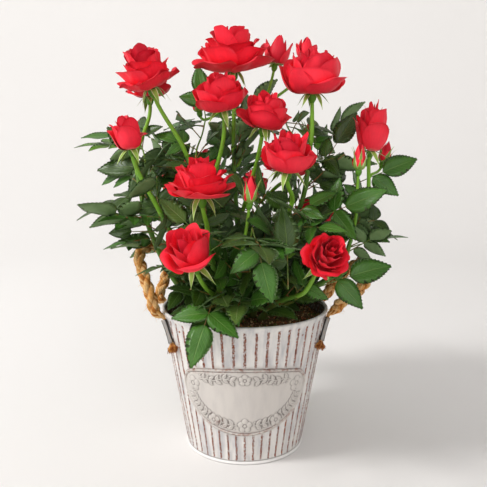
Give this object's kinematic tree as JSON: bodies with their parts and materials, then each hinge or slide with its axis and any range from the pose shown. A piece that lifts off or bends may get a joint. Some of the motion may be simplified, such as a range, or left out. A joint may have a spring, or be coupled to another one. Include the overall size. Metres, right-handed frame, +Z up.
{
  "type": "potted rose",
  "caption": "Patio rose in full red bloom, with buds and dark compound leaves, growing in a tapered ribbed tin bucket with an embossed plaque and rope loop handles.",
  "frame": {"origin": "centre of the bucket's flat underside, on the surface that it stands on", "axes": "+Z up the bucket's axis, -Y out of the front plaque, +X to the right of someone who faces the plaque"},
  "size_m": [0.2905, 0.3173, 0.3494],
  "materials": {
    "tin": "whitewashed, with rust-brown speckled lines along the ribs",
    "compost": "crumbly, moist",
    "steel": "dull",
    "rope": "twisted jute, hairy",
    "cane": "smooth green bark",
    "rose": "velvety",
    "leaf": "satin"
  },
  "bodies": {
    "root": {"bucket": "tin", "cane_back_left": "cane", "cane_back_right": "cane", "cane_centre": "cane", "cane_centre_left": "cane", "cane_centre_right": "cane", "cane_front": "cane", "cane_front_left": "cane", "cane_front_right": "cane", "cane_left": "cane", "cane_left_front": "cane", "cane_right": "cane", "cane_right_back": "cane", "cane_right_centre": "cane", "compost": "compost", "leaves_back_left_low": "leaf", "leaves_back_left_top": "leaf", "leaves_back_low": "leaf", "leaves_back_right_low": "leaf", "leaves_back_right_top": "leaf", "leaves_back_top": "leaf", "leaves_centre_inner": "leaf", "leaves_front_fan": "leaf", "leaves_front_tall": "leaf", "leaves_left_broad": "leaf", "leaves_left_low": "leaf", "leaves_left_spray": "leaf", "leaves_left_top": "leaf", "leaves_right_inner": "leaf", "leaves_right_mid": "leaf", "leaves_right_thin": "leaf", "leaves_right_top": "leaf", "leaves_rim_left": "leaf", "leaves_rim_right": "leaf", "leaves_top_left": "leaf", "leaves_top_right": "leaf", "rope_handle_left": "rope", "rope_handle_right": "rope", "rose_back_left": "rose", "rose_back_right": "rose", "rose_back_side": "rose", "rose_crown": "rose", "rose_crown_buds": "rose", "rose_far_left": "rose", "rose_far_left_back": "rose", "rose_left_side": "rose", "rose_low_left": "rose", "rose_low_right": "rose", "rose_middle_bud": "rose", "rose_middle_left": "rose", "rose_middle_right": "rose", "rose_right_bud": "rose", "rose_right_side": "rose", "rose_upper_left": "rose", "rose_upper_middle": "rose", "rose_upper_right": "rose", "strap_1": "steel", "strap_2": "steel", "strap_3": "steel", "strap_4": "steel"}
  },
  "joints": []
}
